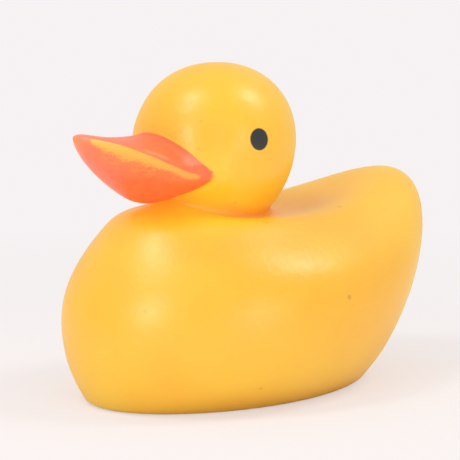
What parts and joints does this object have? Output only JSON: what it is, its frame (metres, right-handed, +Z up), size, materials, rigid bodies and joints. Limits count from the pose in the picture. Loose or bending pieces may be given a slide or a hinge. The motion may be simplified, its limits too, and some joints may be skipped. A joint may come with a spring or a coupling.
{
  "type": "vinyl duck figurine",
  "caption": "Small moulded vinyl bath duck with a round head, painted open-lipped bill, dished back, raised tail and flat base.",
  "frame": {"origin": "on the flat base, at the middle of the duck's width and of its length from bill tip to tail", "axes": "+Z up, -Y the way the duck faces, +X its left side"},
  "size_m": [0.0534, 0.0776, 0.0594],
  "materials": {
    "vinyl": "satin soft vinyl, painted orange-red bill, painted near-black eyes"
  },
  "bodies": {
    "root": {"duck": "vinyl"}
  },
  "joints": []
}
